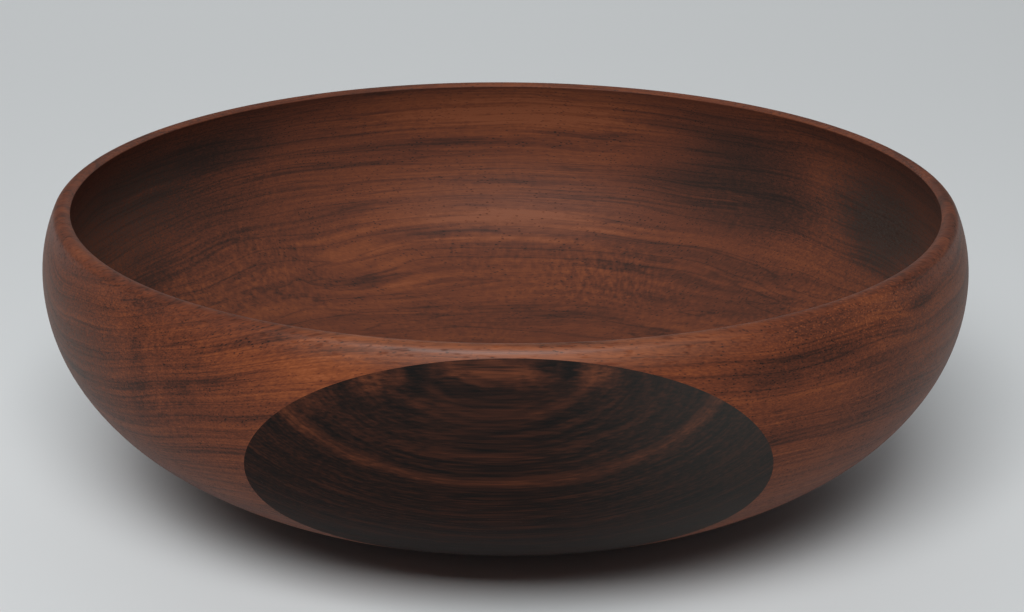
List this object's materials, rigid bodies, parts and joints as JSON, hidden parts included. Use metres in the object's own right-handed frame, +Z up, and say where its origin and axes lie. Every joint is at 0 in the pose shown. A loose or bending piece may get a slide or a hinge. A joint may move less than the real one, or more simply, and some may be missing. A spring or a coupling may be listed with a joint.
{
  "type": "wooden bowl",
  "caption": "Round thin-walled turned wooden bowl with an incurved rounded rim, a low foot ring and a contrasting dark wood panel set flush through one side.",
  "frame": {"origin": "centre of the foot ring's standing plane, on the turning axis", "axes": "+Z up along the turning axis out of the mouth, -Y towards the middle of the dark panel, +X to the right when the panel faces the viewer"},
  "size_m": [0.2942, 0.2942, 0.0949],
  "materials": {
    "reddish_brown_wood": "satin oiled wood, reddish brown with near-black streaks and fine open pores",
    "dark_streaked_wood": "satin oiled wood, near black with thin reddish-brown growth lines"
  },
  "bodies": {
    "root": {"bowl_body": "reddish_brown_wood", "dark_wood_panel": "dark_streaked_wood"}
  },
  "joints": []
}
